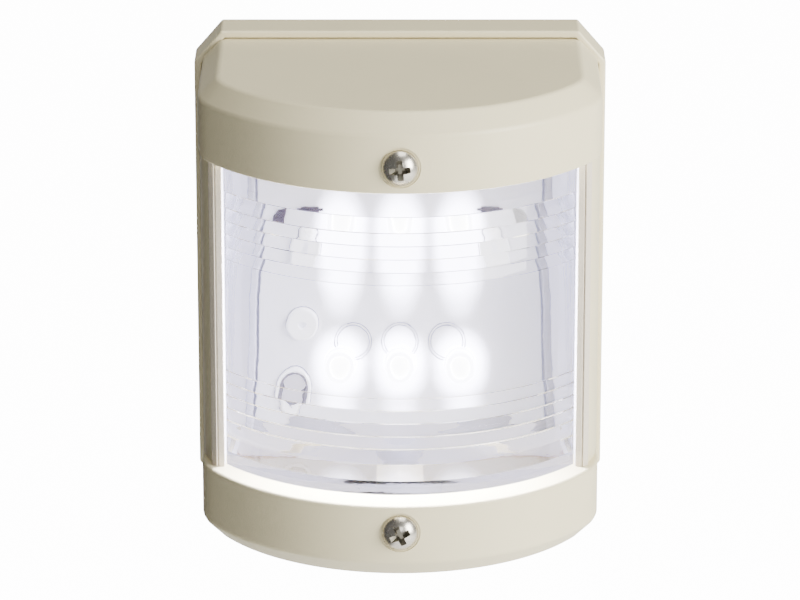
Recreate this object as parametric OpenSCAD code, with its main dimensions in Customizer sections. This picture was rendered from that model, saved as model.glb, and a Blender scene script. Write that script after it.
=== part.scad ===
// Vertical-mount stern navigation light, 135 degree sector, for small craft.
// The wall is the plane y = 0. The light faces -Y and +Z is up.
// The origin is the centre of the base's back face.
// "Depth" is a distance in front of the wall, so a point at depth d lies at y = -d.

/* [Base] */
// Width of the base tray
base_w = 68; // [64:0.5:72]
// Height of the base tray
base_h = 81; // [78:0.5:90]
// Depth of the tray's rim in front of the wall
base_d = 7.6; // [6.5:0.1:9]
// Width cut off each tray corner
corner_cut_x = 4.5; // [3:0.1:6]
// Height cut off each tray corner
corner_cut_z = 5.2; // [3:0.1:6]
// Thickness of the tray's rim
rim_t = 1.2; // [1:0.1:1.6]
// Thickness of the tray's floor
floor_t = 2.5; // [2:0.1:3]

/* [Cover] */
// Depth of the cover's front, at the middle
cover_d = 52; // [50:0.5:56]
// Radius of the cover's curved front
cover_r = 36.6; // [36:0.1:40]
// Radius of the two upright corners beside the curved front
corner_r = 12; // [9:0.5:14]
// Bevel along the top and bottom edges of the cover
bevel = 3.1; // [2:0.1:4]
// Rounding of the cover's edges
edge_r = 0.9; // [0.5:0.1:1.2]
// Wall thickness of the cover
wall = 2; // [1.6:0.1:2.4]
// Gap between the cover and the tray's rim
seam = 0.2; // [0.15:0.05:0.3]
// Half of the window's height
window_hh = 26.3; // [24:0.1:26.5]

/* [Lens] */
// How far the lens sits behind the cover's front
lens_setback = 4.7; // [4:0.1:6]
// Radius of the lens's curved front
lens_r = 36; // [34:0.1:38]
// Thickness of the lens at a rib's crest
lens_t = 3.4; // [2.8:0.1:3.8]
// Thickness of the lens's roof, floor and side cheeks
lens_plate_t = 1.6; // [1.2:0.1:2]

/* [Light sector] */
// Half of the gap between the pillars' screens
screen_x = 28.7; // [28:0.1:30]
// Horizontal sector that the screens let through
sector = 135; // [130:1:140]
// Depth of the light-emitting plane
source_d = 21.7; // [20:0.1:24]

/* [LED board] */
// Width of the LED board
board_w = 46; // [42:1:50]
// Height of the LED board
board_h = 40; // [38:1:44]
// Thickness of the LED board
board_t = 1.6; // [1:0.1:2]
// Distance between LED columns
led_pitch = 9.8; // [8:0.1:11]
// Height of the upper LED row above the middle
led_upper_z = 9.6; // [8:0.1:14]
// Distance of the lower LED row below the middle
led_lower_z = 12.4; // [8:0.1:14]
// Diameter of an LED's flange
led_d = 5.2; // [4:0.1:5.8]

/* [Fasteners and holes] */
// Distance of each cover screw from the middle
screw_z = 30.7; // [30:0.1:32]
// Diameter of a cover screw's shank
screw_d = 2.9; // [2.5:0.1:3.5]
// Length of a cover screw under its head
screw_l = 32; // [28:1:36]
// Diameter of a cover screw's head
screw_head_d = 5.9; // [5:0.1:6.5]
// Height of a cover screw's head
screw_head_h = 2.2; // [1.6:0.1:2.4]
// Distance between the mounting holes, sideways
mount_x = 42; // [36:1:46]
// Distance between the mounting holes, upwards
mount_z = 62; // [60:0.5:63]
// Diameter of a mounting hole
mount_hole_d = 4.2; // [3.5:0.1:4.5]
// Bore of the cable grommet
cable_d = 6; // [4:0.5:7]

/* [Hidden] */
$fn = 64;

eps = 0.01;
arc_steps = 5;                                  // straight steps in a rounded profile corner
ivory = "#e6dfcd";
white_plastic = "#f4f4f2";
steel = "#c4c4c0";
brass = "#c9a44c";
dark = "#2b2533";
led_yellow = "#f2e9a0";
clear_plastic = "#dfe6ff";

// Cover, worked out from the tray
cover_hw = base_w / 2 - rim_t - seam;           // half width
cover_hh = base_h / 2 - rim_t - seam;           // half height
cover_back = floor_t + 0.4;                     // depth of the cover's rear edge
axis_d = cover_d - cover_r;                     // depth of the curved front's upright axis
corner_x = cover_hw - corner_r;                 // the two corner arcs are centred on this x and depth
corner_d = axis_d + sqrt(pow(cover_r - corner_r, 2) - pow(corner_x, 2));
swing = atan2(corner_x, corner_d - axis_d);     // direction where the front meets the corner arc
corner_step = 0.05;                             // how far the corner arcs stand in, to keep faces apart

// Pillars: an upright corner arc that ends in a screen beside the lens
pillar_r = 12.6;
pillar_inset = 0.25;                            // how far the pillars' sides stand in from the caps'
pillar_corner_d = 25.5;                         // depth where the pillar's side starts to curve
pillar_back = 24;                               // depth of the face that holds the lens's wings
screen_w = 2.2;
screen_d = source_d + screen_x / tan(sector / 2);
groove_w = 0.25;

// Lens
lens_axis_d = cover_d - lens_setback - lens_r;
lens_in_r = lens_r - lens_t;
lens_hh = window_hh - 0.2;
lens_hw = screen_x - 0.3;
lens_back = 20;                                 // depth of the lens's rear edge
wing_w = 1.9;                                   // side flange behind each pillar
wing_d = 2.4;
// Heights where a rib of the lens ends, from the middle outwards, and how deep each rib falls away
rib_z = [4.95, 9.6, 11.7, 13.9, 16.1, 18.3, 21];
rib_fall = [0.35, 0.4, 0.42, 0.46, 0.5, 0.6];

// Screws and the bosses they thread into
spot_d = cover_d - 0.3;                         // depth of the flat under each screw head
spot_r = screw_head_d / 2 + 0.35;
ring_r = 2.4;
ring_t = 1;
boss_r = 3.6;
boss_top = 25.5;
boss_bore_d = 9;                                // depth where the boss's bore starts
sleeve_r = 3.8;
sleeve_end = boss_top + 0.3;
screw_fit = 0.06;                               // radial clearance round the screw's shank
recess = [3.8, 1, 1.2];                         // cross recess: length, width, depth
recess_turn = 5;

// LED board, on a carrier, on six posts
led_t = 2;
board_back = source_d - led_t - board_t;
board_front = board_back + board_t;
carrier_t = 1.5;
carrier_back = board_back - carrier_t;
carrier_margin = 1.6;                           // how far the carrier reaches past the board
rivets = [[-16, -6], [-16, 4.2], [16, 4.2]];    // x, z of each rivet
rivet_r = 1;
post_r = 2.6;
plain_posts = [[-16, 13], [16, 13], [16, -12]]; // x, z of posts without a rivet
driver_x = 14.6;
driver_z = 13;
eyelet_pos = [-17.2, -15.6];                    // x, z
eyelet_r = 2.3;

// Wiring
cable_z = -14;
terminal_z = 6;
terminal_size = [15, 8.5, 9];                   // x, depth, z
port_x = 3.4;
port_d = floor_t + 4.5;
lead_r = 0.8;
lead_bend_r = 3;
lead_hole_z = 16;

// A 2D shape drawn in X and Z, extruded between two depths.
module slab(from, to) {
    translate([0, -from, 0]) rotate([90, 0, 0]) linear_extrude(to - from) children();
}

// A round rod between two depths.
module rod(x, z, r, from, to) {
    translate([x, -from, z]) rotate([90, 0, 0]) cylinder(h = to - from, r = r);
}

// A box centred on X and Z that stands between two depths.
module box(x, z, w, h, from, to) {
    translate([x - w / 2, -to, z - h / 2]) cube([w, to - from, h]);
}

// Places its children as they are and mirrored.
module both(v) {
    children();
    mirror(v) children();
}

// Outward normal of the edge from a to b of an anticlockwise outline.
function outward(a, b) = let(u = (b - a) / norm(b - a)) [u[1], -u[0]];

// Convex anticlockwise outline with each corner rounded to radius r by a few straight steps.
function rounded(p, r) = [
    for (i = [0 : len(p) - 1])
        let(a = p[(i + len(p) - 1) % len(p)],
            b = p[i],
            c = p[(i + 1) % len(p)],
            n1 = outward(a, b),
            n2 = outward(b, c),
            half = acos(min(1, n1 * n2)) / 2,
            middle = b - (n1 + n2) / norm(n1 + n2) * r / cos(half),
            start = atan2(n1[1], n1[0]))
        for (k = [0 : arc_steps])
            let(t = start + 2 * half * k / arc_steps)
            middle + r * [cos(t), sin(t)]
];

// Rectangle with cut corners, anticlockwise, by its half sizes and the size of the cut.
function cut_rectangle(hw, hh, cx, cz) = [
    [-hw + cx, -hh], [hw - cx, -hh], [hw, -hh + cz], [hw, hh - cz],
    [hw - cx, hh], [-hw + cx, hh], [-hw, hh - cz], [-hw, -hh + cz]
];

// Size of the corner cut on the tray's outline moved inwards by t.
function cut_after(t) =
    let(l = norm([corner_cut_x, corner_cut_z]),
        nx = corner_cut_z / l,
        nz = corner_cut_x / l)
    [corner_cut_x - t * (1 - (1 - nz) / nx), corner_cut_z - t * (1 - (1 - nx) / nz)];

// The tray's outline moved inwards by t.
module tray_plan(t, er = 0.4) {
    c = cut_after(t);
    polygon(rounded(cut_rectangle(base_w / 2 - t, base_h / 2 - t, c[0], c[1]), er));
}

// Solid with the cover's plan: straight sides, two corner arcs and a curved front, bevelled above and below.
module cover_block() {
    function profile(w) = rounded(cut_rectangle(w, cover_hh, bevel, bevel), edge_r);
    module drum(x, d, radius) {
        half = [for (q = profile(radius)) if (q[0] > eps) q];
        translate([x, -d, 0]) rotate_extrude($fn = 128) polygon(concat([[0, -cover_hh]], half, [[0, cover_hh]]));
    }
    intersection() {
        drum(0, axis_d, cover_r);
        translate([0, -axis_d, -cover_hh - 1]) linear_extrude(2 * cover_hh + 2)
            polygon([[0, 0], [-2 * cover_r * tan(swing), -2 * cover_r], [2 * cover_r * tan(swing), -2 * cover_r]]);
    }
    for (s = [-1, 1]) drum(s * corner_x, corner_d, corner_r - corner_step);
    slab(cover_back, corner_d) polygon(profile(cover_hw));
}

// Points on an arc round [x, -d], from one direction to another in steps of about 4 degrees.
function arc(x, d, radius, from, to) =
    let(n = ceil(abs(to - from) / 4))
    [for (k = [0 : n]) let(t = from + (to - from) * k / n) [x + radius * sin(t), -d - radius * cos(t)]];

// The space inside the cover: its plan moved inwards by t, up to a half height.
module cover_space(t, hh) {
    translate([0, 0, -hh]) linear_extrude(2 * hh) polygon(concat(
        [[cover_hw - t, 0]],
        arc(corner_x, corner_d, corner_r - t, 90, swing),
        arc(0, axis_d, cover_r - t, swing, -swing),
        arc(-corner_x, corner_d, corner_r - t, -swing, -90),
        [[-cover_hw + t, 0]]
    ));
}

// Plan of the pillar on the right: corner arc and screen, with a fine groove down the screen's front.
module pillar_plan() {
    difference() {
        union() {
            intersection() {
                translate([cover_hw - pillar_inset - pillar_r, -pillar_corner_d]) circle(pillar_r, $fn = 128);
                translate([screen_x, -screen_d]) square([cover_hw - screen_x, screen_d - pillar_back]);
            }
            translate([screen_x, -screen_d]) square([screen_w, screen_d - pillar_back]);
        }
        translate([screen_x + screen_w / 2, -screen_d - eps]) square([groove_w, groove_w + eps]);
        // slopes the outer half of the screen's front away to the side
        polygon([[screen_x + screen_w - 0.8, -screen_d - eps], [screen_x + screen_w + eps, -screen_d - eps],
                 [screen_x + screen_w + eps, -screen_d + 0.9]]);
    }
}

// Plan of the lens, moved inwards by t.
module lens_plan(t, back) {
    intersection() {
        translate([0, -lens_axis_d]) circle(lens_r - t, $fn = 128);
        translate([-lens_hw + t, -cover_d]) square([2 * (lens_hw - t), cover_d - back]);
    }
}

// The cover's two screw sleeves, spot faces and ring seats share these positions.
module at_screws() {
    for (s = [-1, 1]) translate([0, 0, s * screw_z]) children();
}

module base_housing() {
    color(ivory) difference() {
        union() {
            difference() {
                slab(0, base_d) tray_plan(0);
                slab(floor_t, base_d + 1) tray_plan(rim_t);
            }
            at_screws() rod(0, 0, boss_r, floor_t - eps, boss_top);
            for (p = concat(rivets, plain_posts)) rod(p[0], p[1], post_r, floor_t - eps, carrier_back);
        }
        at_screws() rod(0, 0, screw_d / 2 + screw_fit, boss_bore_d, boss_top + 1);
        for (x = [-1, 1], z = [-1, 1]) rod(x * mount_x / 2, z * mount_z / 2, mount_hole_d / 2, -1, floor_t + 1);
        for (p = rivets) rod(p[0], p[1], rivet_r, 8, carrier_back + 1);
        rod(0, cable_z, cable_d / 2 + 1.5, -1, floor_t + 1);
        // groove for the seal
        slab(floor_t - 0.8, floor_t + eps) difference() {
            tray_plan(rim_t + seam);
            tray_plan(rim_t + seam + wall + 0.3);
        }
    }
}

module base_seal() {
    color("#b8862f") slab(floor_t - 0.8, cover_back) difference() {
        tray_plan(rim_t + seam + 0.1);
        tray_plan(rim_t + seam + wall + 0.2);
    }
}

module cable_grommet() {
    color(dark) translate([0, 0, cable_z]) rotate([90, 0, 0]) rotate_extrude() polygon([
        [cable_d / 2, 0.2], [cable_d / 2 + 1.5, 0.2], [cable_d / 2 + 1.5, floor_t],
        [cable_d / 2 + 3, floor_t], [cable_d / 2 + 3, floor_t + 1.2], [cable_d / 2 + 1, floor_t + 3],
        [cable_d / 2, floor_t + 3]
    ]);
}

module terminal_block() {
    color(white_plastic) difference() {
        box(0, terminal_z, terminal_size[0], terminal_size[2], floor_t, floor_t + terminal_size[1]);
        for (s = [-1, 1]) {
            translate([s * port_x, -port_d, terminal_z - 6]) cylinder(h = 12, r = 1.9);
            rod(s * port_x, terminal_z, 1.6, port_d, floor_t + terminal_size[1] + 1);
        }
    }
}

module terminal_clamps() {
    color(brass) for (s = [-1, 1]) translate([s * port_x, -port_d, terminal_z - 3]) difference() {
        cylinder(h = 6, r = 1.9);
        translate([0, 0, -1]) cylinder(h = 8, r = lead_r);
    }
}

// A lead from the clamp up, round one bend and forward into the board.
module lead(x) {
    bend_z = lead_hole_z - lead_bend_r;
    translate([x, -port_d, terminal_z]) cylinder(h = bend_z - terminal_z, r = lead_r);
    translate([x, -port_d - lead_bend_r, bend_z]) rotate([90, 0, 90]) rotate_extrude(angle = 90)
        translate([lead_bend_r, 0]) circle(lead_r, $fn = 32);
    rod(x, lead_hole_z, lead_r, port_d + lead_bend_r, board_back + board_t / 2);
}

module lead_red() {
    color("#b02318") lead(-port_x);
}

module lead_black() {
    color("#1d1d1f") lead(port_x);
}

module board_carrier() {
    w = board_w + 2 * carrier_margin;
    h = board_h + 2 * carrier_margin;
    color(white_plastic) difference() {
        union() {
            box(0, 0, w, h, carrier_back, board_back);
            for (s = [-1, 1]) box(s * (w / 2 - 0.6), 0, 1.2, h, carrier_back - 4, board_front + 0.6);
        }
        for (p = rivets) rod(p[0], p[1], rivet_r + 0.1, 0, source_d);
        for (x = [-1, 1]) rod(x * port_x, lead_hole_z, lead_r + 0.6, 0, source_d);
        rod(eyelet_pos[0], eyelet_pos[1], eyelet_r, 0, source_d);
    }
}

module led_board() {
    color("#eef0ee") difference() {
        box(0, 0, board_w, board_h, board_back, board_front);
        for (p = rivets) rod(p[0], p[1], rivet_r + 0.1, 0, source_d);
        for (x = [-1, 1]) rod(x * port_x, lead_hole_z, lead_r, 0, board_back + board_t / 2);
        rod(eyelet_pos[0], eyelet_pos[1], eyelet_r, 0, source_d);
    }
}

module board_rivets() {
    color(white_plastic) for (p = rivets) difference() {
        union() {
            rod(p[0], p[1], rivet_r, 12, board_front + 0.5);
            rod(p[0], p[1], 2.6, board_front, board_front + 0.9);
        }
        rod(p[0], p[1], 0.7, board_front - 1, board_front + 2);
    }
}

// A flat-topped LED: flange, body and a dished window.
module led(column, z) {
    color(led_yellow) translate([column * led_pitch, -board_front, z])
        rotate([90, 0, 0]) rotate_extrude() polygon([
            [0, 0], [led_d / 2, 0], [led_d / 2, 0.7], [led_d / 2 - 0.35, 0.7],
            [led_d / 2 - 0.35, led_t - 0.15], [led_d / 2 - 0.5, led_t], [led_d / 2 - 0.9, led_t],
            [led_d / 2 - 1.1, led_t - 0.3], [0, led_t - 0.3]
        ]);
}

module led_upper_left() {
    led(-1, led_upper_z);
}

module led_upper_centre() {
    led(0, led_upper_z);
}

module led_upper_right() {
    led(1, led_upper_z);
}

module led_lower_left() {
    led(-1, -led_lower_z);
}

module led_lower_centre() {
    led(0, -led_lower_z);
}

module led_lower_right() {
    led(1, -led_lower_z);
}

module driver(x) {
    color(dark) {
        box(x, driver_z, 3, 3, board_front + 0.1, board_front + 1.1);
        for (k = [-1, 0, 1]) box(x, driver_z + k * 0.95, 4.2, 0.4, board_front, board_front + 0.3);
    }
}

module driver_left() {
    driver(-driver_x);
}

module driver_right() {
    driver(driver_x);
}

// Lines the wire hole through the board and the carrier.
module board_eyelet() {
    color(white_plastic) difference() {
        union() {
            rod(eyelet_pos[0], eyelet_pos[1], eyelet_r, carrier_back, board_front + 0.5);
            rod(eyelet_pos[0], eyelet_pos[1], eyelet_r + 0.5, board_front, board_front + 0.5);
        }
        rod(eyelet_pos[0], eyelet_pos[1], eyelet_r - 0.4, 0, source_d);
    }
}

module chip_resistors() {
    color(dark) for (s = [-1, 1]) {
        for (z = [12.2, 9.6]) box(s * 20.3, z, 2, 1.25, board_front, board_front + 0.5);
        box(s * led_pitch / 2, 2.4, 6.2, 0.8, board_front, board_front + 0.5);
    }
}

module cover() {
    window_w = base_w + 2;
    skirt_cut = cut_after(rim_t + seam);
    color(ivory) difference() {
        union() {
            difference() {
                cover_block();
                // cuts the skirt's corners back to clear the tray's
                for (x = [-1, 1], z = [-1, 1]) slab(0, base_d + 0.2) polygon([
                    [x * (cover_hw - 2 * skirt_cut[0]), z * (cover_hh + skirt_cut[1])],
                    [x * (cover_hw + skirt_cut[0]), z * (cover_hh - 2 * skirt_cut[1])],
                    [x * (cover_hw + 2 * skirt_cut[0]), z * (cover_hh + 2 * skirt_cut[1])]
                ]);
                difference() {
                    union() {
                        cover_space(wall, cover_hh - bevel - 0.3);
                        cover_space(2 * wall, cover_hh - wall);
                    }
                    // shelves that close the caps in front of the lens
                    for (s = [-1, 1]) translate([0, 0, s * (window_hh + wall / 2) - wall / 2])
                        linear_extrude(wall) difference() {
                            translate([-base_w / 2, -cover_d]) square([base_w, cover_d - pillar_back]);
                            lens_plan(2, 0);
                        }
                }
                box(0, 0, window_w, 2 * window_hh, pillar_back, cover_d + 1);
            }
            // pillars
            both([1, 0, 0]) translate([0, 0, -window_hh - 0.5]) linear_extrude(2 * window_hh + 1) pillar_plan();
            // sleeves
            at_screws() rod(0, 0, sleeve_r, sleeve_end, cover_d - wall / 2);
        }
        at_screws() {
            rod(0, 0, screw_d / 2 + 0.2, sleeve_end - 1, cover_d + 1);
            rod(0, 0, ring_r + 0.05, spot_d - ring_t, cover_d + 1);
            rod(0, 0, spot_r, spot_d, cover_d + 1);
        }
    }
}

module lens() {
    // profile of the ribbed wall: every rib ends in a step back out to full thickness
    half = [for (i = [0 : len(rib_fall) - 1]) each [
        [lens_r, rib_z[i]],
        [lens_r - rib_fall[i], rib_z[i + 1]]
    ]];
    mirrored = [for (i = [len(half) - 1 : -1 : 0]) [half[i][0], -half[i][1]]];
    profile = concat(
        [[lens_in_r, -lens_hh], [lens_r, -lens_hh], [lens_r, -rib_z[len(rib_z) - 1]]],
        mirrored, half,
        [[lens_r, rib_z[len(rib_z) - 1]], [lens_r, lens_hh], [lens_in_r, lens_hh]]
    );
    swing = asin(lens_hw / lens_in_r);
    color(clear_plastic, 0.45) {
        intersection() {
            translate([0, -lens_axis_d, 0]) rotate([0, 0, 270 - swing])
                rotate_extrude(angle = 2 * swing) polygon(profile);
            box(0, 0, 2 * lens_hw, 2 * lens_hh, lens_back, cover_d);
        }
        for (s = [-1, 1]) translate([0, 0, s * (lens_hh - lens_plate_t / 2) - lens_plate_t / 2])
            linear_extrude(lens_plate_t) lens_plan(lens_t / 2, lens_back);
        for (s = [-1, 1]) {
            side_d = lens_axis_d + sqrt(pow(lens_in_r, 2) - pow(lens_hw, 2)) + 0.5;
            box(s * (lens_hw - lens_plate_t / 2), 0, lens_plate_t, 2 * lens_hh, lens_back, side_d);
            box(s * (lens_hw + wing_w / 2 - eps), 0, wing_w, 2 * lens_hh, pillar_back - wing_d, pillar_back);
        }
    }
}

module cover_screw(s) {
    dome = screw_head_h - 0.5;
    hr = screw_head_d / 2;
    ball_r = (hr * hr + dome * dome) / (2 * dome);
    color(steel) translate([0, -spot_d, s * screw_z]) rotate([90, 0, 0]) difference() {
        union() {
            translate([0, 0, -screw_l + 2]) cylinder(h = screw_l - 2, r = screw_d / 2);
            translate([0, 0, -screw_l]) cylinder(h = 2, r1 = 0.4, r2 = screw_d / 2);
            cylinder(h = 0.5, r = hr);
            rotate_extrude() polygon(concat([[0, 0.4], [hr, 0.4], [hr, 0.5]], [
                for (k = [1 : 10])
                    let(t = asin(hr / ball_r) * (1 - k / 10))
                    [ball_r * sin(t), 0.5 + dome - ball_r + ball_r * cos(t)]
            ]));
        }
        for (a = [0, 90]) rotate([0, 0, a + recess_turn])
            translate([-recess[0] / 2, -recess[1] / 2, screw_head_h - recess[2]])
                cube([recess[0], recess[1], recess[2] + 1]);
    }
}

module upper_screw() {
    cover_screw(1);
}

module lower_screw() {
    cover_screw(-1);
}

module screw_ring(s) {
    color(dark) translate([0, -spot_d + ring_t, s * screw_z]) rotate([90, 0, 0]) rotate_extrude() polygon([
        [screw_d / 2, 0], [ring_r - 0.2, 0], [ring_r, 0.2], [ring_r, ring_t - 0.2],
        [ring_r - 0.2, ring_t], [screw_d / 2, ring_t]
    ]);
}

module upper_screw_ring() {
    screw_ring(1);
}

module lower_screw_ring() {
    screw_ring(-1);
}

base_housing();
base_seal();
cable_grommet();
terminal_block();
terminal_clamps();
lead_red();
lead_black();
board_carrier();
led_board();
board_rivets();
led_upper_left();
led_upper_centre();
led_upper_right();
led_lower_left();
led_lower_centre();
led_lower_right();
driver_left();
driver_right();
board_eyelet();
chip_resistors();
cover();
lens();
upper_screw();
lower_screw();
upper_screw_ring();
lower_screw_ring();
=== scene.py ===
import math

import bmesh
import bpy
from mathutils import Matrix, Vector

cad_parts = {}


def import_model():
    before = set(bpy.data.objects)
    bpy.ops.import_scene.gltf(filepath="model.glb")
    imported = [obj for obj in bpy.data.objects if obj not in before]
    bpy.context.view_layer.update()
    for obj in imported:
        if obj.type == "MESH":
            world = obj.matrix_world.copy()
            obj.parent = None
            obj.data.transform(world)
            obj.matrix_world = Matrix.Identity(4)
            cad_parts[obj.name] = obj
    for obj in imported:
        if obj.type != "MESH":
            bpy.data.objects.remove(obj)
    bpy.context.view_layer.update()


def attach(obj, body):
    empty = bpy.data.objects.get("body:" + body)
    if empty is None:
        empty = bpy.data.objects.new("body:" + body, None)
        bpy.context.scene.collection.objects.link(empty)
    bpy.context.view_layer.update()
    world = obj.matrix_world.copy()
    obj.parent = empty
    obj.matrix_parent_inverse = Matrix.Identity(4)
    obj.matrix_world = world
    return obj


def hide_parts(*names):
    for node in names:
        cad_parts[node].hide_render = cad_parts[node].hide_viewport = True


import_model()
MM = 0.001

# ---------------------------------------------------------------- dimensions, mm, as in the CAD
BASE_W, BASE_H, BASE_D = 68.0, 81.0, 7.6
CUT_X, CUT_Z, RIM, FLOOR = 4.5, 5.2, 1.2, 2.5
SEAM, WALL, BEVEL = 0.2, 2.0, 3.1
WALL_SCREW_X, WALL_SCREW_Z, WALL_SCREW_R = 21.0, 31.0, 2.1

COVER_D, COVER_R, CORNER_R = 52.0, 36.6, 12.0
HW, HH = BASE_W / 2 - RIM - SEAM, BASE_H / 2 - RIM - SEAM
AXIS_D = COVER_D - COVER_R
CX = HW - CORNER_R
CD = AXIS_D + math.sqrt((COVER_R - CORNER_R) ** 2 - CX ** 2)
SWING = math.degrees(math.atan2(CX, CD - AXIS_D))
COVER_BACK = FLOOR + 0.4
WIN = 26.3
SCREEN_X, SCREEN_W, PILLAR_BACK, PILLAR_CD, PILLAR_R = 28.7, 2.2, 24.0, 25.5, 12.6
SOURCE_D = 21.7
SCREEN_D = SOURCE_D + SCREEN_X / math.tan(math.radians(67.5))
GROOVE_X = SCREEN_X + 1.1

LENS_R, LENS_T, LENS_PLATE, LENS_BACK = 36.0, 3.4, 1.6, 20.0
LENS_AD = COVER_D - 4.7 - LENS_R
LENS_HW, LENS_HH = SCREEN_X - 0.3, WIN - 0.2
WING_IN, WING_OUT, WING_D0, WING_D1 = 0.4, 1.9, 21.6, 24.0
RIB_Z = [4.95, 9.6, 11.7, 13.9, 16.1, 18.3, 21.0]
RIB_FALL = [0.35, 0.4, 0.42, 0.46, 0.5, 0.6]

SCREW_Z, SPOT_D = 30.7, COVER_D - 0.3
BOSS_R, POST_R, PILOT_R = 3.6, 2.6, 1.51
HEAD_R, HEAD_H, HEAD_RIM = 2.95, 2.2, 0.45
SHANK_R, THREAD_CORE, THREAD_CREST, THREAD_PITCH = 1.3, 1.12, 1.45, 1.1

BOARD_T, LED_T = 1.6, 2.0
BOARD_W, BOARD_H = 46.0, 40.0
BOARD_BACK = SOURCE_D - LED_T - BOARD_T
BOARD_FRONT = BOARD_BACK + BOARD_T
TRAY_T, TRAY_MARGIN, TRAY_SIDE = 1.5, 1.6, 0.6
PITCH, ROWS = 9.8, {"upper": 9.6, "lower": -12.4}
RIVETS = [(-16.0, -6.0), (-16.0, 4.2), (16.0, 4.2)]
PLAIN_POSTS = [(-16.0, 13.0), (16.0, 13.0), (16.0, -12.0)]
DRIVER_X, DRIVER_Z = 14.6, 13.0
RESISTOR_X, RESISTOR_ZS = 20.3, (12.2, 9.6)
EYELET_X, EYELET_Z, EYELET_R = -17.2, -15.6, 2.3

TERMINAL_X, TERMINAL_D, TERMINAL_Z = 3.4, 7.0, 6.0
CLAMP_HOLE_R, CLAMP_R, CLAMP_BORE_R = 1.9, 1.88, 0.8
LEAD_R, LEAD_BEND, LEAD_Z = 0.79, 3, 16.0
ENTRY_Z, ENTRY_R, CABLE_R = -14.0, 4.5, 3.0


# ---------------------------------------------------------------- mesh helpers (all in mm, y = -depth)
def obj(name, verts, faces, smooth=28):
    me = bpy.data.meshes.new(name)
    me.from_pydata([tuple(c * MM for c in v) for v in verts], [], faces)
    bm = bmesh.new()
    bm.from_mesh(me)
    bmesh.ops.remove_doubles(bm, verts=bm.verts, dist=1e-7)
    bmesh.ops.recalc_face_normals(bm, faces=bm.faces)
    bm.to_mesh(me)
    bm.free()
    o = bpy.data.objects.new(name, me)
    bpy.context.scene.collection.objects.link(o)
    shade(o, smooth)
    return o


def shade(o, smooth):
    o.data.polygons.foreach_set("use_smooth", [True] * len(o.data.polygons))
    o.data.set_sharp_from_angle(angle=math.radians(smooth))
    o.data.update()


def loft(name, rings, smooth=28):
    """Closed solid through rings of equal length, capped at both ends."""
    n = len(rings[0])
    verts = [p for r in rings for p in r]
    faces = []
    for i in range(len(rings) - 1):
        a, b = i * n, (i + 1) * n
        faces += [(a + k, a + (k + 1) % n, b + (k + 1) % n, b + k) for k in range(n)]
    faces.append(tuple(range(n))[::-1])
    faces.append(tuple((len(rings) - 1) * n + k for k in range(n)))
    return obj(name, verts, faces, smooth)


def prism(name, plan, z0, z1, smooth=28):
    """plan is a list of (x, depth)."""
    return loft(name, [[(x, -d, z) for x, d in plan] for z in (z0, z1)], smooth)


def circle(cx, cy, r, n):
    """n points of a circle, as (x, y)."""
    turns = [2 * math.pi * k / n for k in range(n)]
    return [(cx + r * math.cos(a), cy + r * math.sin(a)) for a in turns]


def rod(name, x, z, profile, n=48, smooth=28):
    """Solid turned about an axis along Y; profile is a list of (radius, depth)."""
    rings = [[(px, -d, pz) for px, pz in circle(x, z, max(r, 0.004), n)] for r, d in profile]
    return loft(name, rings, smooth)


def block(name, x0, x1, d0, d1, z0, z1, r=0.0):
    """Box whose edges are rounded by r."""
    o = prism(name, [(x0, d0), (x1, d0), (x1, d1), (x0, d1)], z0, z1)
    if r <= 0:
        return o
    bm = bmesh.new()
    bm.from_mesh(o.data)
    bmesh.ops.bevel(bm, geom=bm.edges[:], offset=r * MM, segments=3, profile=0.5, affect="EDGES")
    bm.to_mesh(o.data)
    bm.free()
    shade(o, 28)
    return o


def join(name, parts):
    """One object from several closed shells."""
    bm = bmesh.new()
    for p in parts:
        me = p.data.copy()
        me.transform(p.matrix_world)
        bm.from_mesh(me)
        bpy.data.meshes.remove(me)
    me = bpy.data.meshes.new(name)
    bm.to_mesh(me)
    bm.free()
    for p in parts:
        bpy.data.objects.remove(p, do_unlink=True)
    o = bpy.data.objects.new(name, me)
    bpy.context.scene.collection.objects.link(o)
    return o


def boolean(target, other, op, smooth=28):
    """target with other added or taken away; other is used up."""
    m = target.modifiers.new("b", "BOOLEAN")
    m.operation, m.solver, m.object = op, "EXACT", other
    m.use_self = True
    dg = bpy.context.evaluated_depsgraph_get()
    me = bpy.data.meshes.new_from_object(target.evaluated_get(dg))
    target.modifiers.clear()
    target.data = me
    bpy.data.objects.remove(other, do_unlink=True)
    bm = bmesh.new()
    bm.from_mesh(me)
    bmesh.ops.remove_doubles(bm, verts=bm.verts, dist=2e-6)
    bmesh.ops.dissolve_degenerate(bm, edges=bm.edges, dist=1e-6)
    bm.to_mesh(me)
    bm.free()
    shade(target, smooth)
    return target


def weighted(o):
    m = o.modifiers.new("normals", "WEIGHTED_NORMAL")
    m.keep_sharp = True
    m.weight = 80
    return o


def arc(cx, cd, r, a0, a1, n):
    """Arc from a0 to a1 degrees in n steps, as (x, depth); 0 degrees points out of the wall."""
    turns = [math.radians(a0 + (a1 - a0) * k / n) for k in range(n + 1)]
    return [(cx + r * math.sin(a), cd + r * math.cos(a)) for a in turns]


# ---------------------------------------------------------------- materials
LED_TINT = (0.84, 0.84, 1.0)
BOARD_BASE_GLOW, BOARD_LED_GLOW = 0.62, 16.0
GLOW_NEAR, GLOW_FAR = 0.002, 0.0056


def add_node(tree, kind, inputs=None, **settings):
    """New shader node with some of its settings and inputs filled in."""
    n = tree.nodes.new("ShaderNode" + kind)
    for key, value in settings.items():
        setattr(n, key, value)
    for key, value in (inputs or {}).items():
        n.inputs[key].default_value = value
    return n


def new_material(name):
    m = bpy.data.materials.new(name)
    m.use_nodes = True
    return m, m.node_tree, m.node_tree.nodes["Principled BSDF"]


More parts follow.
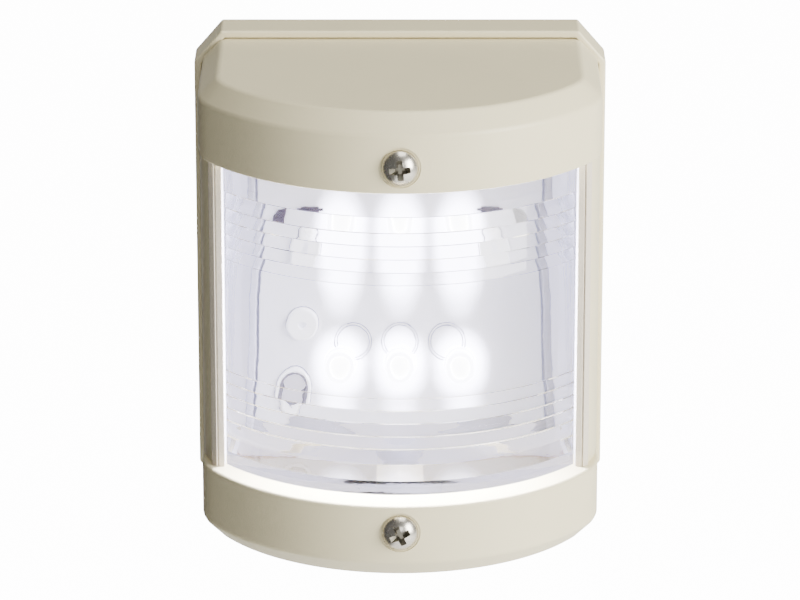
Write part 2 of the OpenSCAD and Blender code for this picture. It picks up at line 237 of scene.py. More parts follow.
def material(name, colour, rough=0.4, metal=0.0, vary=0.04, scale=900.0, bump=0.0, bump_scale=3000.0,
             emit=None, emit_strength=0.0):
    """Plain surface whose colour and roughness vary a little."""
    m, nt, b = new_material(name)
    link = nt.links.new
    b.inputs["Metallic"].default_value = metal
    b.inputs["IOR"].default_value = 1.5
    if emit:
        b.inputs["Emission Color"].default_value = (*emit, 1)
        b.inputs["Emission Strength"].default_value = emit_strength
    tc = add_node(nt, "TexCoord")
    nz = add_node(nt, "TexNoise", {"Scale": scale, "Detail": 4})
    link(tc.outputs["Object"], nz.inputs["Vector"])
    low = tuple(c * (1 - vary) for c in colour)
    high = tuple(min(1.0, c * (1 + vary)) for c in colour)
    mix = add_node(nt, "Mix", {"A": (*low, 1), "B": (*high, 1)}, data_type="RGBA")
    link(nz.outputs["Fac"], mix.inputs["Factor"])
    link(mix.outputs["Result"], b.inputs["Base Color"])
    mr = add_node(nt, "MapRange", {"To Min": rough * 0.85, "To Max": rough * 1.15})
    link(nz.outputs["Fac"], mr.inputs["Value"])
    link(mr.outputs["Result"], b.inputs["Roughness"])
    if bump:
        n2 = add_node(nt, "TexNoise", {"Scale": bump_scale, "Detail": 2})
        link(tc.outputs["Object"], n2.inputs["Vector"])
        bp = add_node(nt, "Bump", {"Strength": bump, "Distance": 0.0001})
        link(n2.outputs["Fac"], bp.inputs["Height"])
        link(bp.outputs["Normal"], b.inputs["Normal"])
    return m


IVORY = material("ivory_abs", (0.775, 0.70, 0.455), rough=0.42, vary=0.015, scale=120.0, bump=0.12,
                 bump_scale=2600.0)
IVORY_ROUGH = material("ivory_textured", (0.68, 0.61, 0.49), rough=0.7, vary=0.10, scale=2200.0, bump=0.8,
                       bump_scale=2600.0)
# inside the case, a painted glow of LED light: the ivory glows a little to match how the LEDs overexpose it
IVORY_PAINTED_LED_GLOW = material("ivory_painted_led_glow", (0.74, 0.73, 0.80), rough=0.5, vary=0.08, scale=300.0, bump=0.2,
                     emit=LED_TINT, emit_strength=1.0)
WHITE = material("white_nylon", (0.86, 0.86, 0.87), rough=0.45, vary=0.03, scale=400.0, bump=0.1)
CHIP = material("chip_epoxy", (0.06, 0.045, 0.085), rough=0.45, vary=0.2, scale=1500.0, bump=0.2)
STEEL = material("stainless", (0.58, 0.55, 0.48), rough=0.27, metal=1.0, vary=0.08, scale=700.0, bump=0.12,
                 bump_scale=1800.0)
# darker steel, painted shade for the screw's cross recess
RECESS_PAINTED_SHADE = material("stainless_recess_painted_shade", (0.25, 0.235, 0.19), rough=0.42, metal=1.0, vary=0.25, scale=1500.0,
                  bump=0.3)
BRASS = material("brass", (0.72, 0.50, 0.20), rough=0.3, metal=1.0, vary=0.08, scale=900.0)
RUBBER = material("dark_rubber", (0.035, 0.035, 0.04), rough=0.65, vary=0.25, scale=1200.0, bump=0.4)
AMBER = material("amber_rubber", (0.55, 0.33, 0.09), rough=0.55, vary=0.12, scale=1200.0, bump=0.3)
RED = material("red_pvc", (0.50, 0.035, 0.025), rough=0.35, vary=0.06, scale=1200.0)
BLACK = material("black_pvc", (0.022, 0.022, 0.024), rough=0.35, vary=0.2, scale=1200.0)


def board_material():
    """White solder mask with a painted glow of LED light all over, stronger in an oval at each LED."""
    m = material("solder_mask_painted_glow", (0.80, 0.80, 0.84), rough=0.35, vary=0.05, scale=500.0)
    nt = m.node_tree
    link = nt.links.new
    b = nt.nodes["Principled BSDF"]
    tc = next(n for n in nt.nodes if n.type == "TEX_COORD")
    total = None
    for cx in (-PITCH, 0, PITCH):
        for cz in ROWS.values():
            # the upper glows sit lower and are drawn out more, to match the tall glare in the ribs
            glow_z, upright = (cz - 3.0, 0.42) if cz > 0 else (cz, 0.85)
            centre = (cx * MM, -BOARD_FRONT * MM, glow_z * MM)
            off = add_node(nt, "VectorMath", {1: centre}, operation="SUBTRACT")
            link(tc.outputs["Object"], off.inputs[0])
            squeeze = add_node(nt, "VectorMath", {1: (1.0, 1.0, upright)}, operation="MULTIPLY")
            link(off.outputs["Vector"], squeeze.inputs[0])
            d = add_node(nt, "VectorMath", operation="LENGTH")
            link(squeeze.outputs["Vector"], d.inputs[0])
            ramp = {"From Min": GLOW_FAR, "From Max": GLOW_NEAR, "To Min": 0.0, "To Max": BOARD_LED_GLOW}
            r = add_node(nt, "MapRange", ramp, interpolation_type="SMOOTHSTEP")
            link(d.outputs["Value"], r.inputs["Value"])
            if total is None:
                total = r.outputs["Result"]
            else:
                a = add_node(nt, "Math", operation="ADD")
                link(total, a.inputs[0])
                link(r.outputs["Result"], a.inputs[1])
                total = a.outputs["Value"]
    # painted LED light: the whole board glows a little as well
    base_glow = add_node(nt, "Math", {1: BOARD_BASE_GLOW}, operation="ADD")
    link(total, base_glow.inputs[0])
    link(base_glow.outputs["Value"], b.inputs["Emission Strength"])
    b.inputs["Emission Color"].default_value = (*LED_TINT, 1)
    return m


BOARD = board_material()
CARRIER = material("carrier_white", (0.62, 0.62, 0.74), rough=0.45, vary=0.04, scale=500.0)
# white plastic of rivets and eyelet, with a painted glow of LED light
PIN_PAINTED_GLOW = material("rivet_white_painted_glow", (0.90, 0.90, 0.92), rough=0.4, vary=0.03, scale=500.0, emit=(0.95, 0.95, 1.0),
               emit_strength=1.1)
# painted shade inside the bore of the lined hole
HOLE_PAINTED_SHADE = material("hole_painted_shade", (0.20, 0.19, 0.25), rough=0.6, vary=0.1, scale=900.0)
# the ceramic body glows with painted light from its LED
LED_BODY_PAINTED_GLOW = material("led_ceramic_painted_glow", (0.88, 0.88, 0.90), rough=0.3, vary=0.03, scale=1500.0, emit=(0.9, 0.9, 1.0),
                    emit_strength=14.0)
LED_GLOW = material("led_phosphor", (0.95, 0.92, 0.70), rough=0.3, vary=0.05, scale=1500.0,
                    emit=(0.93, 0.95, 1.0), emit_strength=160.0)


def lens_material():
    """Clear acrylic that lets light through to the board without casting a full shadow."""
    m, nt, b = new_material("clear_acrylic")
    link = nt.links.new
    b.inputs["Transmission Weight"].default_value = 1.0
    b.inputs["IOR"].default_value = 1.49
    b.inputs["Base Color"].default_value = (0.94, 0.94, 1.0, 1)
    tc = add_node(nt, "TexCoord")
    nz = add_node(nt, "TexNoise", {"Scale": 260.0, "Detail": 3})
    link(tc.outputs["Object"], nz.inputs["Vector"])
    mr = add_node(nt, "MapRange", {"To Min": 0.0, "To Max": 0.05})
    link(nz.outputs["Fac"], mr.inputs["Value"])
    link(mr.outputs["Result"], b.inputs["Roughness"])
    bp = add_node(nt, "Bump", {"Strength": 0.08, "Distance": 0.0002})
    link(nz.outputs["Fac"], bp.inputs["Height"])
    link(bp.outputs["Normal"], b.inputs["Normal"])
    lp = add_node(nt, "LightPath")
    tr = add_node(nt, "BsdfTransparent", {"Color": (0.93, 0.93, 0.97, 1)})
    mx = add_node(nt, "MixShader")
    out = next(n for n in nt.nodes if n.type == "OUTPUT_MATERIAL")
    link(lp.outputs["Is Shadow Ray"], mx.inputs["Fac"])
    link(b.outputs["BSDF"], mx.inputs[1])
    link(tr.outputs["BSDF"], mx.inputs[2])
    link(mx.outputs["Shader"], out.inputs["Surface"])
    return m


LENS = lens_material()


def use(o, *mats):
    o.data.materials.clear()
    for m in mats:
        o.data.materials.append(m)
    return o


def place(o, body, *nodes, mats=None):
    if mats:
        use(o, *mats)
    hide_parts(*nodes)
    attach(o, body)
    return o


# ---------------------------------------------------------------- base
SOFT_CORNER, SOFT_STEPS = 0.6, 4


def corner_cut(t):
    """Size in x and z of the corner cut when the outline is moved in by t."""
    slant = math.hypot(CUT_X, CUT_Z)
    nx, nz = CUT_Z / slant, CUT_X / slant
    return CUT_X - t * (1 - (1 - nz) / nx), CUT_Z - t * (1 - (1 - nx) / nz)


def tray_plan(t):
    """Tray outline moved in by t, as (x, z), anticlockwise, corners softened."""
    cx, cz = corner_cut(t)
    hw, hh = BASE_W / 2 - t, BASE_H / 2 - t
    corners = [(-hw + cx, -hh), (hw - cx, -hh), (hw, -hh + cz), (hw, hh - cz),
               (hw - cx, hh), (-hw + cx, hh), (-hw, hh - cz), (-hw, -hh + cz)]
    out = []
    for i, corner in enumerate(corners):
        a, b, c = Vector(corners[i - 1]), Vector(corner), Vector(corners[(i + 1) % len(corners)])
        u, v = (a - b).normalized(), (c - b).normalized()
        s, e = b + u * SOFT_CORNER * 0.5, b + v * SOFT_CORNER * 0.5
        for k in range(SOFT_STEPS + 1):
            f = k / SOFT_STEPS
            q = s * (1 - f) ** 2 + b * 2 * f * (1 - f) + e * f ** 2
            out.append((q.x, q.y))
    return out


def tray_ring(t, d):
    return [(x, -d, z) for x, z in tray_plan(t)]


# from the back edge, round the outer lip, over the rim and down to the floor
rings = [tray_ring(0.35, 0.0), tray_ring(0.1, 0.1), tray_ring(0.0, 0.35)]
OUTER_LIP = [(0.0, 0.0), (0.03, 0.16), (0.11, 0.28), (0.25, 0.37), (0.4, 0.4)]
rings += [tray_ring(inset, BASE_D - 0.4 + rise) for inset, rise in OUTER_LIP]
INNER_LIP = [(0.9, 0.0), (1.05, 0.04), (1.16, 0.14), (RIM, 0.3)]
rings += [tray_ring(inset, BASE_D - drop) for inset, drop in INNER_LIP]
rings += [tray_ring(RIM, FLOOR + 0.3), tray_ring(1.3, FLOOR + 0.08), tray_ring(1.5, FLOOR)]
base = loft("base_tray", rings)

bosses = []
for s in (-1, 1):
    profile = [(BOSS_R, FLOOR - 0.5), (BOSS_R, 25.2), (3.5, 25.4), (3.3, 25.5)]
    bosses.append(rod("boss", 0, s * SCREW_Z, profile))
for x, z in RIVETS + PLAIN_POSTS:
    bosses.append(rod("post", x, z, [(POST_R, FLOOR - 0.5), (POST_R, BOARD_BACK - TRAY_T)]))
base = boolean(base, join("adds", bosses), "UNION")

cuts = [rod("c", 0, s * SCREW_Z, [(PILOT_R, 9.0), (PILOT_R, 25.2), (1.9, 26)], 32) for s in (-1, 1)]
for sx in (-1, 1):
    for sz in (-1, 1):
        profile = [(WALL_SCREW_R, -1), (WALL_SCREW_R, FLOOR - 0.4), (2.6, FLOOR + 0.4)]
        cuts.append(rod("c", sx * WALL_SCREW_X, sz * WALL_SCREW_Z, profile, 32))
cuts.append(rod("c", 0, ENTRY_Z, [(ENTRY_R, -1), (ENTRY_R, FLOOR + 1)], 48))
base = boolean(base, join("cuts", cuts), "DIFFERENCE")
use(base, IVORY, IVORY_PAINTED_LED_GLOW)
for p in base.data.polygons:
    px, pd, pz = abs(p.center.x) / MM, -p.center.y / MM, abs(p.center.z) / MM
    # faces inside the tray's walls glow with painted LED light
    if pd > FLOOR - 0.05 and px < HW - WALL and pz < HH - WALL:
        p.material_index = 1
place(weighted(base), "base", "base_housing")

seal = loft("seal", [tray_ring(1.6, 1.75), tray_ring(1.5, 1.85), tray_ring(1.5, 2.8), tray_ring(1.6, 2.9)])
hole = loft("h", [tray_ring(3.7, 1.0), tray_ring(3.7, 4.0)])
seal = boolean(seal, hole, "DIFFERENCE")
seal.name = "seal_strip"
place(seal, "base", "base_seal", mats=[AMBER])

# ---------------------------------------------------------------- cover
SOFT_EDGE = 0.55


def cover_plan(t, back=COVER_BACK, corner_steps=18, front_steps=72):
    """Cover outline moved in by t and closed at a depth of back, as (x, depth)."""
    right = arc(CX, CD, CORNER_R - t, 90, SWING, corner_steps)
    front = arc(0, AXIS_D, COVER_R - t, SWING, -SWING, front_steps)[1:-1]
    left = arc(-CX, CD, CORNER_R - t, -SWING, -90, corner_steps)
    return [(HW - t, back)] + right + front + left + [(-HW + t, back)]


def cap(name, s):
    """Upper cap for s = 1, lower for -1, from its lip at the window to its flat end."""
    levels = [(i, WIN + a) for i, a in [(0.55, 0.0), (0.38, 0.04), (0.2, 0.13), (0.07, 0.28), (0.0, 0.5)]]
    # the bevel between two softened edges
    z1, z2 = HH - BEVEL, HH
    levels += [(0.0, z1 - SOFT_EDGE), (0.05, z1 - SOFT_EDGE * 0.45), (0.17, z1 + 0.02), (0.35, z1 + 0.33)]
    levels += [(BEVEL - 0.35, z2 - 0.36), (BEVEL - 0.05, z2 - 0.14)]
    levels += [(BEVEL + 0.3, z2 - 0.03), (BEVEL + 0.7, z2)]
    rings = [[(x, -d, s * z) for x, d in cover_plan(i)] for i, z in levels]
    return loft(name, rings, 20)


def pillar_plan():
    """Right side wall between the caps, running into the pillar with its grooved strip, as (x, depth)."""
    outer, gx, d = SCREEN_X + SCREEN_W, GROOVE_X, SCREEN_D
    plan = [(HW - 0.02, COVER_BACK), (HW - 0.02, PILLAR_BACK + 0.3), (HW - 0.12, PILLAR_BACK + 0.6)]
    plan += arc(HW - 0.25 - PILLAR_R, PILLAR_CD, PILLAR_R, 90, 60.8, 14)
    plan += [(outer, d - 0.95), (outer - 0.1, d - 0.75), (outer - 0.78, d - 0.03)]
    plan += [(gx + 0.26, d), (gx + 0.12, d - 0.1), (gx + 0.1, d - 0.35)]
    plan += [(gx, d - 0.35), (gx - 0.02, d - 0.1), (gx - 0.15, d - 0.03)]
    plan += [(SCREEN_X + 0.12, d - 0.05), (SCREEN_X, d - 0.2), (SCREEN_X, PILLAR_BACK)]
    plan += [(HW - WALL, PILLAR_BACK - 0.8), (HW - WALL, COVER_BACK)]
    return plan


def cup_plan(hw, r, back, n):
    """Flat sides and round front of the lens cup, as (x, depth)."""
    a = math.degrees(math.asin(hw / r))
    return [(hw, back)] + arc(0, LENS_AD, r, a, -a, n) + [(-hw, back)]


upper, lower = cap("cover_front", 1), cap("cap2", -1)
walls = []
for s in (-1, 1):
    walls.append(prism("wall", [(s * x, d) for x, d in pillar_plan()], -WIN - 0.6, WIN + 0.6, 20))
sleeves = []
for s in (-1, 1):
    sleeves.append(rod("sleeve", 0, s * SCREW_Z, [(3.65, 25.8), (3.8, 26.0), (3.8, COVER_D - 1)], 48))

# each cap is hollowed in two steps, and its window floor is opened for the lens
cavity = []
for s in (-1, 1):
    a, b = sorted((s * (WIN + WALL), s * (HH - BEVEL - 0.3)))
    cavity.append(prism("cav", cover_plan(WALL, -1.0, 12, 48), a, b))
    a, b = sorted((s * (HH - BEVEL - 1.5), s * (HH - WALL)))
    cavity.append(prism("cav", cover_plan(2 * WALL, -1.0, 12, 48), a, b))
    a, b = sorted((s * (WIN - 1.2), s * (WIN + WALL + 0.5)))
    cavity.append(prism("cav", cup_plan(LENS_HW - 2.0, LENS_R - 2.0, -1.0, 48), a, b))

# wedges that cut the cover's corners to clear the tray's
skirt = []
cut_x, cut_z = corner_cut(RIM + SEAM)
wedge = [(HW - 2 * cut_x, HH + cut_z), (HW + cut_x, HH - 2 * cut_z), (HW + 2 * cut_x, HH + 2 * cut_z)]
for sx in (-1, 1):
    for sz in (-1, 1):
        skirt.append(loft("k", [[(sx * x, -d, sz * z) for x, z in wedge] for d in (0.0, BASE_D + 0.2)]))

solid = join("cover_front", [upper, lower] + walls)
cover = boolean(solid, join("cav", cavity), "DIFFERENCE", 22)
cover = boolean(cover, join("add", sleeves), "UNION", 22)
drill = []
for s in (-1, 1):
    # clearance hole, pocket for the rubber ring, spot face for the head
    profile = [(1.65, 24), (1.65, SPOT_D - 0.6), (2.45, SPOT_D - 0.6), (2.45, SPOT_D), (3.3, SPOT_D),
               (3.42, SPOT_D + 1)]
    drill.append(rod("d", 0, s * SCREW_Z, profile, 48))
cover = boolean(cover, join("drill", drill + skirt), "DIFFERENCE", 22)
cover.name = "cover_front"
use(cover, IVORY, IVORY_ROUGH, IVORY_PAINTED_LED_GLOW)
for p in cover.data.polygons:
    px, pd, pz = abs(p.center.x) / MM, -p.center.y / MM, abs(p.center.z) / MM
    # faces inside the case glow with painted LED light
    if pz < WIN + WALL - 0.1 and px < HW - WALL + 0.05 and pd < SCREEN_D - 2:
        p.material_index = 2
    if SCREEN_X < px < SCREEN_X + SCREEN_W and pd > SCREEN_D - 1 and pz < WIN:
        p.material_index = 1
place(weighted(cover), "cover", "cover")


# ---------------------------------------------------------------- lens
def lens_levels():
    """Heights up the lens and how far its face falls back at each, as (z, fall)."""
    ribs = []
    for i, f in enumerate(RIB_FALL):
        z0, z1 = RIB_Z[i], RIB_Z[i + 1]
        # each rib: convex fall away from its crest, then a sharp step back out
        for k in range(5):
            u = k / 4
            ribs.append((z0 + (z1 - z0) * u, f * (0.6 * u + 0.4 * u * u)))
    out = [(-LENS_HH, 0.25), (-LENS_HH + 0.25, 0.0), (-RIB_Z[-1] - 0.02, 0.0)]
    out += [(-z, f) for z, f in reversed(ribs)]
    out += [(0.0, 0.0)]
    out += ribs
    out += [(RIB_Z[-1] + 0.02, 0.0), (LENS_HH - 0.25, 0.0), (LENS_HH, 0.25)]
    return out


rings = [[(x, -d, z) for x, d in cup_plan(LENS_HW, LENS_R - f, LENS_BACK, 96)] for z, f in lens_levels()]
lens = loft("lens_cup", rings, 12)
inside_hw, inside_r, inside_hh = LENS_HW - LENS_PLATE, LENS_R - LENS_T, LENS_HH - LENS_PLATE
inside = prism("li", cup_plan(inside_hw, inside_r, LENS_BACK - 3, 96), -inside_hh, inside_hh, 12)
lens = boolean(lens, inside, "DIFFERENCE", 12)
wings = []
for s in (-1, 1):
    x0, x1 = sorted((s * (LENS_HW - WING_IN), s * (LENS_HW + WING_OUT)))
    wings.append(block("w", x0, x1, WING_D0, WING_D1, -LENS_HH, LENS_HH))
lens = boolean(lens, join("wings", wings), "UNION", 12)
lens.name = "lens_cup"
place(lens, "cover", "lens", mats=[LENS])


# ---------------------------------------------------------------- screws
def screw(name, s, turn):
    """Pan-head cover screw, upper for s = 1, with its cross recess turned by turn degrees."""
    dome = HEAD_H - HEAD_RIM
    ball = (HEAD_R * HEAD_R + dome * dome) / (2 * dome)
    prof = [(0.35, SPOT_D - 32), (THREAD_CREST, SPOT_D - 30)]
    # rolled thread
    d = SPOT_D - 29.6
    while d < SPOT_D - 18:
        prof += [(THREAD_CORE, d), (THREAD_CREST, d + 0.45), (THREAD_CREST, d + 0.58), (THREAD_CORE, d + 1.02)]
        d += THREAD_PITCH
    prof += [(SHANK_R, SPOT_D - 17.6), (SHANK_R, SPOT_D - 0.02)]
    prof += [(HEAD_R - 0.1, SPOT_D), (HEAD_R, SPOT_D + 0.12), (HEAD_R, SPOT_D + HEAD_RIM - 0.05)]
    for k in range(1, 13):
        a = math.asin(HEAD_R / ball) * (1 - k / 12)
        prof.append((ball * math.sin(a), SPOT_D + HEAD_RIM + dome - ball + ball * math.cos(a)))
    o = rod(name, 0, s * SCREW_Z, prof, 64, 30)

    def plus(arm, w, d):
        q = w / 2
        pts = [(q, q), (q, arm), (-q, arm), (-q, q), (-arm, q), (-arm, -q),
               (-q, -q), (-q, -arm), (q, -arm), (q, -q), (arm, -q), (arm, q)]
        c, sn = math.cos(math.radians(turn)), math.sin(math.radians(turn))
        return [(x * c - z * sn, -d, s * SCREW_Z + x * sn + z * c) for x, z in pts]

    cross = loft("x", [plus(2.0, 1.15, SPOT_D + HEAD_H + 0.3), plus(1.72, 0.95, SPOT_D + HEAD_H - 0.4),
                       plus(0.8, 0.6, SPOT_D + HEAD_H - 1.3)])
    o = boolean(o, cross, "DIFFERENCE", 30)
    o.name = name
    use(o, STEEL, RECESS_PAINTED_SHADE)
    for p in o.data.polygons:
        # a face of the head that doesn't lie on its dome or rim belongs to the recess, which is painted in
        # shade
        dx, dz, pd = p.center.x / MM, p.center.z / MM - s * SCREW_Z, -p.center.y / MM
        reach = math.hypot(dx, dz)
        on_dome = SPOT_D + HEAD_RIM + dome - ball + math.sqrt(max(ball * ball - reach * reach, 0.0))
        if pd > SPOT_D + 0.5 and reach < 2.2 and pd < on_dome - 0.12:
            p.material_index = 1
    return o


for s, n, turn in ((1, "upper", 5), (-1, "lower", 24)):
    place(screw(f"{n}_pan_screw", s, turn), f"{n}_screw", f"{n}_screw")
    profile = [(2.2, SPOT_D - 1), (2.36, SPOT_D - 0.9), (2.4, SPOT_D - 0.7), (2.4, SPOT_D - 0.3),
               (2.36, SPOT_D - 0.1), (2.2, SPOT_D)]
    ring = rod("r", 0, s * SCREW_Z, profile)
    bore = rod("h", 0, s * SCREW_Z, [(THREAD_CREST, SPOT_D - 2), (THREAD_CREST, SPOT_D + 1)])
    ring = boolean(ring, bore, "DIFFERENCE")
    ring.name = f"{n}_seal_ring"
    place(ring, f"{n}_ring", f"{n}_screw_ring", mats=[RUBBER])


# ---------------------------------------------------------------- LED board and what is on it
def near_axis(p, x, z, reach):
    """Whether face p's centre lies within reach of the axis along Y at x, z."""
    return math.hypot(p.center.x / MM - x, p.center.z / MM - z) < reach


f = BOARD_FRONT
board = block("board_panel", -BOARD_W / 2, BOARD_W / 2, BOARD_BACK, f, -BOARD_H / 2, BOARD_H / 2, 0.15)
bore = rod("h", EYELET_X, EYELET_Z, [(EYELET_R, BOARD_BACK - 1), (EYELET_R, f + 1)])
board = boolean(board, bore, "DIFFERENCE")
board.name = "board_panel"
place(board, "base", "led_board", mats=[BOARD])

cw, ch = BOARD_W + 2 * TRAY_MARGIN, BOARD_H + 2 * TRAY_MARGIN
carrier = [block("c", -cw / 2, cw / 2, BOARD_BACK - TRAY_T, BOARD_BACK - 0.01, -ch / 2, ch / 2, 0.2)]
for s in (-1, 1):
    x = s * (cw / 2 - TRAY_SIDE)
    carrier.append(block("c", x - TRAY_SIDE, x + TRAY_SIDE, BOARD_BACK - 5.5, f + 0.6, -ch / 2, ch / 2, 0.25))
bore = rod("h", EYELET_X, EYELET_Z, [(EYELET_R, BOARD_BACK - 3), (EYELET_R, BOARD_BACK + 1)])
carrier[0] = boolean(carrier[0], bore, "DIFFERENCE")
place(join("board_tray", carrier), "base", "board_carrier", mats=[CARRIER])

rivets = []
for x, z in RIVETS:
    profile = [(0.95, 12), (0.95, f), (2.6, f), (2.6, f + 0.55), (2.5, f + 0.78), (2.3, f + 0.9)]
    rivet = rod("rv", x, z, profile)
    rivets.append(boolean(rivet, rod("h", x, z, [(0.7, f - 1), (0.7, f + 2)], 24), "DIFFERENCE"))
place(join("push_rivets", rivets), "base", "board_rivets", mats=[PIN_PAINTED_GLOW])

# ceramic body, then a raised edge round a sunken lit face
LED_PROFILE = [(2.45, f), (2.6, f + 0.1), (2.6, f + 0.6), (2.5, f + 0.7), (2.25, f + 0.72), (2.25, f + 1.85),
               (2.15, f + 1.98), (2.05, f + 2.0), (1.7, f + 2.0), (1.55, f + 1.72), (1.2, f + 1.8),
               (0.7, f + 1.88), (0.3, f + 1.9)]
for r, z in ROWS.items():
    for c, x in (("left", -PITCH), ("centre", 0.0), ("right", PITCH)):
        led = rod(f"lamp_{r}_{c}", x, z, LED_PROFILE, 40)
        use(led, LED_BODY_PAINTED_GLOW, LED_GLOW)
        for p in led.data.polygons:
            if near_axis(p, x, z, 1.5) and -p.center.y / MM > f + 1:
                p.material_index = 1
        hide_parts(f"led_{r}_{c}")
        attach(led, "base")

for s, n in ((-1, "left"), (1, "right")):
    x, z = s * DRIVER_X, DRIVER_Z
    parts = [block("p", x - 1.5, x + 1.5, f + 0.12, f + 1.1, z - 1.5, z + 1.5, 0.12)]
    for k in (-1, 0, 1):
        leg_z = z + k * 0.95
        parts.append(block("p", x - 2.1, x + 2.1, f, f + 0.3, leg_z - 0.2, leg_z + 0.2, 0.06))
    place(join(f"chip_{n}", parts), "base", f"driver_{n}", mats=[CHIP])

profile = [(EYELET_R - 0.02, BOARD_BACK - 1.5), (EYELET_R - 0.02, f), (EYELET_R + 0.5, f),
           (EYELET_R + 0.5, f + 0.3), (EYELET_R + 0.3, f + 0.5), (EYELET_R, f + 0.5)]
eyelet = rod("eye", EYELET_X, EYELET_Z, profile)
bore = rod("h", EYELET_X, EYELET_Z, [(EYELET_R - 0.4, BOARD_BACK - 3), (EYELET_R - 0.4, f + 2)])
eyelet = boolean(eyelet, bore, "DIFFERENCE")
eyelet.name = "lined_hole"
use(eyelet, PIN_PAINTED_GLOW, HOLE_PAINTED_SHADE)
# the faces of the bore are painted dark as shade
for p in eyelet.data.polygons:
    if near_axis(p, EYELET_X, EYELET_Z, EYELET_R - 0.3):
        p.material_index = 1
place(eyelet, "base", "board_eyelet")

parts = []
for s in (-1, 1):
    x = s * RESISTOR_X
    for z in RESISTOR_ZS:
        parts.append(block("p", x - 1, x + 1, f, f + 0.5, z - 0.62, z + 0.62, 0.08))
    # the short dashes between the LED columns
    x = s * PITCH / 2
    parts.append(block("p", x - 3.1, x + 3.1, f, f + 0.5, 2.0, 2.8, 0.08))
place(join("chip_parts", parts), "base", "chip_resistors", mats=[CHIP])

HOOP_SINK, HOOP_H = 0.02, 0.05


def hoop(x, z, r, w):
    """Thin raised ring on the board, w wide."""
    n = 64
    verts, faces = [], []
    for k in range(n):
        a = 2 * math.pi * k / n
        for rr, dd in ((r, 0), (r, HOOP_H), (r + w, HOOP_H), (r + w, 0)):
            verts.append((x + rr * math.cos(a), -(BOARD_FRONT - HOOP_SINK + dd), z + rr * math.sin(a)))
    for k in range(n):
        a, b = 4 * k, 4 * ((k + 1) % n)
        for j in range(4):
            faces.append((a + j, a + (j + 1) % 4, b + (j + 1) % 4, b + j))
    return obj("hoop", verts, faces)


# a device of the picture, with no solid in the CAD: three double rings of print, and outlines of rivets and
# eyelet that are painted contact shadow
PRINT_AND_PAINTED_SHADOW = material("ink_rings_and_painted_shadow", (0.16, 0.15, 0.24), rough=0.5, vary=0.15, scale=2500.0)
INK_X, INK_Z = (-7.7, 0.0, 7.7), -9.0
outlines = [hoop(x, INK_Z, r, 0.13) for x in INK_X for r in (2.55, 2.95)]
outlines += [hoop(x, z, 2.62, 0.1) for x, z in RIVETS]
outlines += [hoop(EYELET_X, EYELET_Z, 2.82, 0.1)]
hoops = join("ink_rings_and_painted_shadow", outlines)
use(hoops, PRINT_AND_PAINTED_SHADOW)
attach(hoops, "base")

# ---------------------------------------------------------------- wiring
tb = block("wire_block", -7.5, 7.5, FLOOR, FLOOR + 8.5, 1.5, 10.5, 0.35)
holes = []
for s in (-1, 1):
    x = s * TERMINAL_X
    holes.append(prism("h", circle(x, TERMINAL_D, CLAMP_HOLE_R, 32), 0, 12))
    holes.append(rod("h", x, TERMINAL_Z, [(1.6, 7.0), (1.6, 12.5)], 32))
tb = boolean(tb, join("hh", holes), "DIFFERENCE")
tb.name = "wire_block"
place(tb, "base", "terminal_block", mats=[WHITE])

clamps = []
for s in (-1, 1):
    x = s * TERMINAL_X
    tube = prism("c", circle(x, TERMINAL_D, CLAMP_R, 32), 3, 9)
    bore = prism("h", circle(x, TERMINAL_D, CLAMP_BORE_R, 24), 2, 10)
    clamps.append(boolean(tube, bore, "DIFFERENCE"))
place(join("wire_clamps", clamps), "base", "terminal_clamps", mats=[BRASS])

# each lead's middle line, as (depth, z): up out of its clamp, round a bend and forward to the board
bend = [math.radians(a) for a in range(10, 90, 10)]
path = [(TERMINAL_D, TERMINAL_Z), (TERMINAL_D, 13.0)]
path += [(10 - LEAD_BEND * math.cos(a), 13 + LEAD_BEND * math.sin(a)) for a in bend]
path += [(10.0, LEAD_Z), (BOARD_BACK + 0.8, LEAD_Z)]
for n, x, m in (("red", -TERMINAL_X, RED), ("black", TERMINAL_X, BLACK)):
    rings = []
    for i, (d, z) in enumerate(path):
        p, q = path[max(i - 1, 0)], path[min(i + 1, len(path) - 1)]
        td, tz = q[0] - p[0], q[1] - p[1]
        length = math.hypot(td, tz)
        td, tz = td / length, tz / length
        ring = []
        for k in range(20):
            a = 2 * math.pi * k / 20
            across, along = LEAD_R * math.cos(a), LEAD_R * math.sin(a)
            ring.append((x + across, -(d + along * tz), z - along * td))
        rings.append(ring)
    place(loft(f"wire_{n}", rings, 40), "base", f"lead_{n}", mats=[m])

profile = [(4.3, 0.2), (4.5, 0.4), (4.5, FLOOR), (6.0, FLOOR), (6.0, FLOOR + 1.0), (5.8, FLOOR + 1.2),
           (4.0, FLOOR + 2.9), (3.7, FLOOR + 3)]
grommet = rod("grommet", 0, ENTRY_Z, profile)
grommet = boolean(grommet, rod("h", 0, ENTRY_Z, [(CABLE_R, -1), (CABLE_R, 7)]), "DIFFERENCE")
grommet.name = "rubber_grommet"
place(grommet, "base", "cable_grommet", mats=[RUBBER])

# ---------------------------------------------------------------- stage
STAGE_HALF, STAGE_Z = 4000, -260
corners = [(-STAGE_HALF, -STAGE_HALF, STAGE_Z), (STAGE_HALF, -STAGE_HALF, STAGE_Z),
           (STAGE_HALF, STAGE_HALF, STAGE_Z), (-STAGE_HALF, STAGE_HALF, STAGE_Z)]
floor = obj("floor", corners, [(0, 1, 2, 3)])
# the floor is bright to the camera only, so that the ground is white and little light comes off it
pale = material("pale_floor", (0.90, 0.90, 0.90), rough=0.9, vary=0.01, scale=3.0, emit=(1, 1, 1))
tree = pale.node_tree
ray = add_node(tree, "LightPath")
glow = add_node(tree, "MapRange", {"To Min": 0.8, "To Max": 14.0})
tree.links.new(ray.outputs["Is Camera Ray"], glow.inputs["Value"])
tree.links.new(glow.outputs["Result"], tree.nodes["Principled BSDF"].inputs["Emission Strength"])
use(floor, pale)

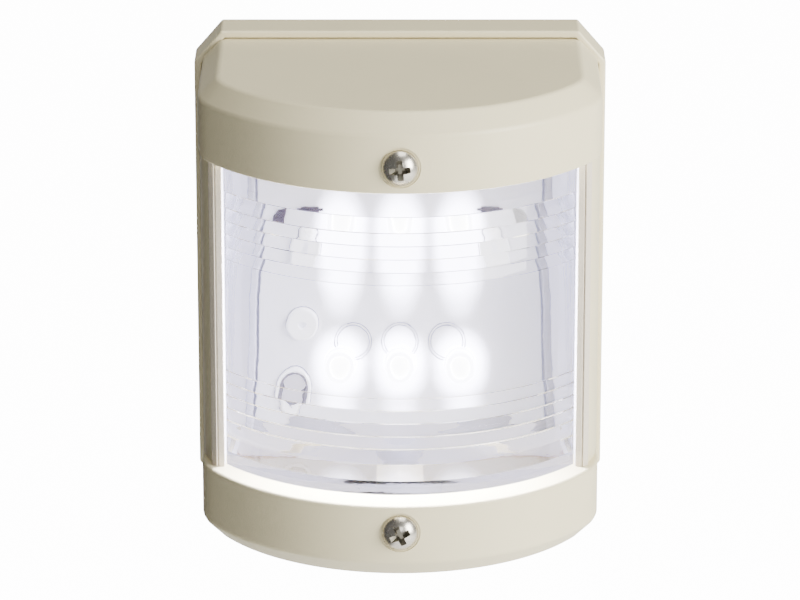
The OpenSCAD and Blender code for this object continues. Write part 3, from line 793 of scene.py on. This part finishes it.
world = bpy.data.worlds.new("studio")
bpy.context.scene.world = world
world.use_nodes = True
world.node_tree.nodes["Background"].inputs["Color"].default_value = (1.0, 1.0, 1.0, 1)
world.node_tree.nodes["Background"].inputs["Strength"].default_value = 0.25


def area(name, loc, target, size, power, colour=(1, 1, 1)):
    light = bpy.data.lights.new(name, "AREA")
    light.shape = "RECTANGLE"
    light.size, light.size_y = size
    light.energy = power
    light.color = colour
    o = bpy.data.objects.new(name, light)
    o.location = loc
    o.rotation_euler = (Vector(target) - Vector(loc)).to_track_quat("-Z", "Y").to_euler()
    bpy.context.scene.collection.objects.link(o)
    return o


AIM = (0, -0.03, 0)
area("key", (0.55, -0.42, 0.20), AIM, (0.35, 0.5), 12.4, (1.0, 0.985, 0.955))
area("front", (0.12, -0.9, 0.35), AIM, (0.3, 0.3), 1.3)
area("top", (0.10, -0.02, 0.7), AIM, (0.5, 0.4), 3.35, (1.0, 0.985, 0.95))

# one small lamp before each LED lights the case, hidden from the camera, the lens and reflections
LAMP_SIZE, LAMP_POWER = 0.004, 0.16
for cx in (-PITCH, 0.0, PITCH):
    for cz in ROWS.values():
        spot = (cx * MM, -(BOARD_FRONT + LED_T + 0.6) * MM, cz * MM)
        ahead = (cx * MM, -0.2, cz * MM * 1.2)
        lamp = area("led_light", spot, ahead, (LAMP_SIZE, LAMP_SIZE), LAMP_POWER, (0.93, 0.94, 1.0))
        lamp.data.spread = math.radians(170)
        lamp.visible_camera = lamp.visible_transmission = lamp.visible_glossy = False

# a dark panel that shades the left side
flag = obj("dark_flag", [(-110, -500, -400), (-110, 200, -400), (-110, 200, 400), (-110, -500, 400)],
           [(0, 1, 2, 3)])
use(flag, material("flag_cloth", (0.03, 0.03, 0.03), rough=0.9, vary=0.1, scale=50.0))
flag.visible_camera = flag.visible_transmission = False

CAMERA_TILT = 18.924
cam = bpy.data.cameras.new("camera")
cam.lens = 215.4
cam.sensor_width = 36.0
cam.clip_start = 0.01
co = bpy.data.objects.new("camera", cam)
co.location = (0.0, -0.7678, 0.2543)
co.rotation_euler = (math.radians(90 - CAMERA_TILT), 0, 0)
bpy.context.scene.collection.objects.link(co)
bpy.context.scene.camera = co
